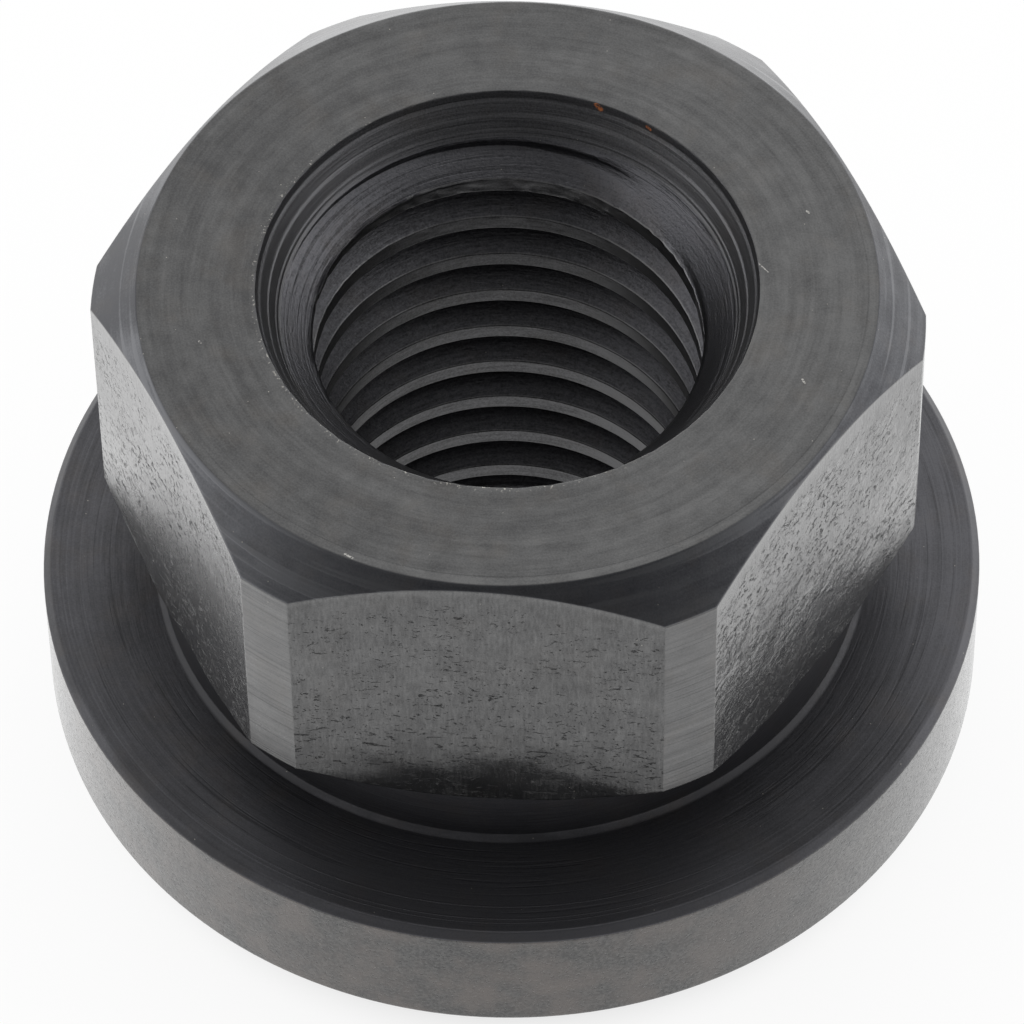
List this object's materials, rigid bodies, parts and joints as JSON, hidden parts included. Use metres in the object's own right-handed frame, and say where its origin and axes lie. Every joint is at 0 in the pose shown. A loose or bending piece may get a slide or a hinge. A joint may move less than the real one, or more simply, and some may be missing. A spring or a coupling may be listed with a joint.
{
  "type": "spherical flange nut",
  "caption": "Black-oxide steel hex nut with a turned round flange, a convex spherical seat under it and a coarse right-hand thread.",
  "frame": {"origin": "on the nut's axis at its lowest point, the flat ring of the spherical seat", "axes": "+Z along the thread's axis, out of the wrench end; +X through one corner of the hexagon, +Y square to one of its flats"},
  "size_m": [0.041, 0.041, 0.0286],
  "materials": {
    "black_oxide_steel": "turned and blackened, semi-gloss"
  },
  "bodies": {
    "root": {"flange_nut": "black_oxide_steel"}
  },
  "joints": []
}
